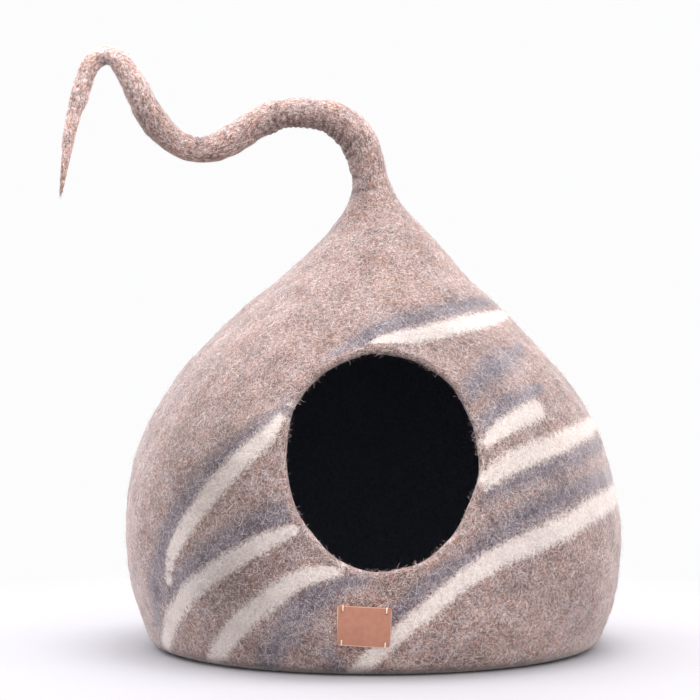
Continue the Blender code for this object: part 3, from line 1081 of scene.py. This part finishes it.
# the cut edges are raw, and paler
CUT = 0.0003
parts = node(tree, "SeparateXYZ", Vector=on_leather)
past_side, past_end = (
    maths(tree, "SUBTRACT", maths(tree, "ABSOLUTE", parts.outputs[axis]), size / 2 - CUT)
    for axis, size in zip("XY", LABEL_SIZE)
)
edge = stretch(tree, maths(tree, "MAXIMUM", past_side, past_end), -CUT, CUT)
hide = blend(tree, edge, hide, (0.66, 0.38, 0.27))
feed(tree, shader.inputs["Base Color"], hide)
feed(tree, shader.inputs["Roughness"], maths(tree, "MULTIPLY_ADD", mottle, 0.3, 0.36))
raised = node(tree, "Bump", Strength=0.35, Distance=0.0002, Height=pores)
feed(tree, shader.inputs["Normal"], raised.outputs["Normal"])
label_mesh.materials.append(leather)
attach(label, "root")
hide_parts("label_patch")

# -------------------------------------------------------------- label's stitches
# Each is a short loop of thick cream thread, doubled, from a hole over the edge and
# down into the felt behind the leather.
thread, tree, shader = finish("cream_thread", Roughness=0.7, Sheen_Weight=0.3)
plies = stored(tree, "ply")
# painted shade: the grooves between the plies are darker
strand = ramp(tree, plies, [
    (0.0, (0.62, 0.44, 0.33)), (0.35, (0.90, 0.76, 0.62)), (1.0, (0.94, 0.83, 0.71)),
])
feed(tree, shader.inputs["Base Color"], strand)
raised = node(tree, "Bump", Strength=0.8, Distance=0.0002, Height=plies)
feed(tree, shader.inputs["Normal"], raised.outputs["Normal"])

LEATHER_FACE = 0.0020                      # the leather's outer face, out from the felt
HOLE_INSET = (0.0045, 0.0055)              # a hole's centre, in from the label's sides
THREAD = 0.00034                           # half of a strand's thickness
SIDES = 8
BEND = 0.242                               # the wall's radius at the label
for right in (-1, 1):
    for up in (-1, 1):
        across = right * (LABEL_SIZE[0] / 2 - HOLE_INSET[0])
        hole = up * (LABEL_SIZE[1] / 2 - HOLE_INSET[1])
        rim_at = up * LABEL_SIZE[1] / 2
        # the thread's route: how far up the label, and how far out of the felt
        stitch = np.array([
            (hole + up * 0.0006, 0.0006), (hole + up * 0.0006, LEATHER_FACE - 0.0002),
            (hole + up * 0.0010, LEATHER_FACE + 0.0003), (hole + up * 0.0020, LEATHER_FACE + 0.0005),
            (rim_at - up * 0.0010, LEATHER_FACE + 0.0004),
            (rim_at - up * 0.0003, LEATHER_FACE + 0.0001),
            (rim_at, 0.0011), (rim_at, -0.0006),
        ])
        line = spaced(smooth(stitch, 8), 0.00018, 2)
        onward = unit(np.gradient(line, axis=0))
        verts, quads, ply = [], [], []
        for strand_side in (-1, 1):
            first = len(verts)
            for step, (along, out) in enumerate(line):
                # the two strands part in the middle and meet at both ends
                bow = strand_side * THREAD * 0.95 * sin(pi * step / (len(line) - 1)) ** 0.4
                for side in range(SIDES):
                    turn = tau * side / SIDES
                    place = (
                        label_place + label_right * (across + bow + THREAD * cos(turn))
                        + label_up * (along - onward[step, 1] * THREAD * sin(turn))
                        + label_out * (out + onward[step, 0] * THREAD * sin(turn))
                    )
                    # the leather bends away with the wall
                    off = (place - label_place) @ label_right
                    verts.append(place - label_out * off**2 / (2 * BEND))
                    ply.append(0.5 + 0.5 * sin(2 * turn + step * 0.9))
            for step in range(len(line) - 1):
                low = first + SIDES * step + np.arange(SIDES)
                after = np.roll(low, -1)
                quads += np.stack([low, after, after + SIDES, low + SIDES], axis=1).tolist()
            quads.append(range(first + SIDES - 1, first - 1, -1))
            quads.append(range(len(verts) - SIDES, len(verts)))
        name = f"stitch_{'top' if up > 0 else 'bottom'}_{'right' if right > 0 else 'left'}"
        stitch_mesh = bpy.data.meshes.new(name)
        stitch_mesh.from_pydata([tuple(v) for v in verts], [], quads)
        put(stitch_mesh, "ply", ply)
        stitch_mesh.shade_smooth()
        stitch_mesh.materials.append(thread)
        piece = placed(name, stitch_mesh)
        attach(piece, "root")
